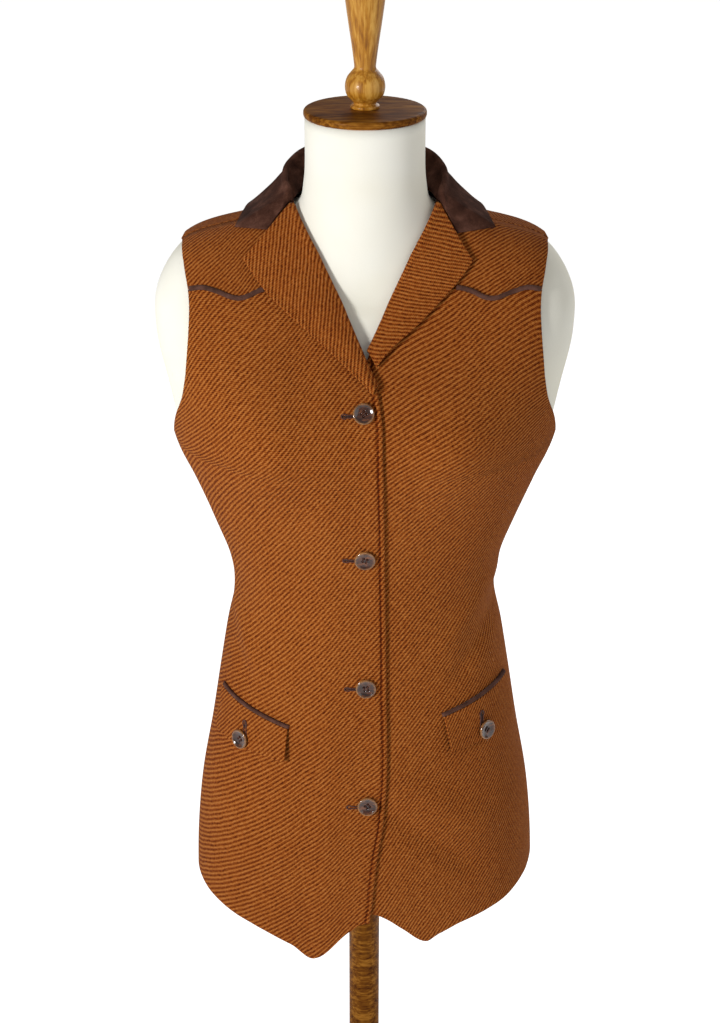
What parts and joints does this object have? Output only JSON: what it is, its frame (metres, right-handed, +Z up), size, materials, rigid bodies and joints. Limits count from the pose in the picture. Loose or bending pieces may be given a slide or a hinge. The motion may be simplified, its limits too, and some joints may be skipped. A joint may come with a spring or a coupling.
{
  "type": "western vest on a dress form",
  "caption": "Sleeveless hip-length twill vest with a suede collar, notched lapels, piped yokes, pocket flaps and a pointed hem, buttoned on a limbless dress form.",
  "frame": {"origin": "middle of the round base's underside, on the surface it stands on", "axes": "+Z up along the stand, the vest's front faces -Y, +X towards the wearer's left"},
  "size_m": [0.3624, 0.31, 1.2147],
  "materials": {
    "twill": "ribbed cavalry twill, tobacco brown",
    "suede": "dark brown suede with a mottled nap",
    "piping": "dark brown suede cord",
    "horn": "polished mottled brown horn look",
    "jersey": "cream jersey stretched smooth",
    "walnut": "dark polished walnut stain",
    "beech": "clear varnished golden beech"
  },
  "bodies": {
    "root": {"front_right": "twill", "front_left": "twill", "yoke_right": "twill", "yoke_left": "twill", "back": "twill", "lapel_right": "twill", "lapel_left": "twill", "pocket_flap_right": "twill", "pocket_flap_left": "twill", "yoke_piping_right": "piping", "yoke_piping_left": "piping", "flap_piping_right": "piping", "flap_piping_left": "piping", "collar": "suede", "form_torso": "jersey", "stand_base": "walnut", "stand_post": "walnut", "neck_cap": "walnut", "finial": "beech", "button_front_1": "horn", "button_front_2": "horn", "button_front_3": "horn", "button_front_4": "horn", "button_flap_right": "horn", "button_flap_left": "horn"}
  },
  "joints": []
}
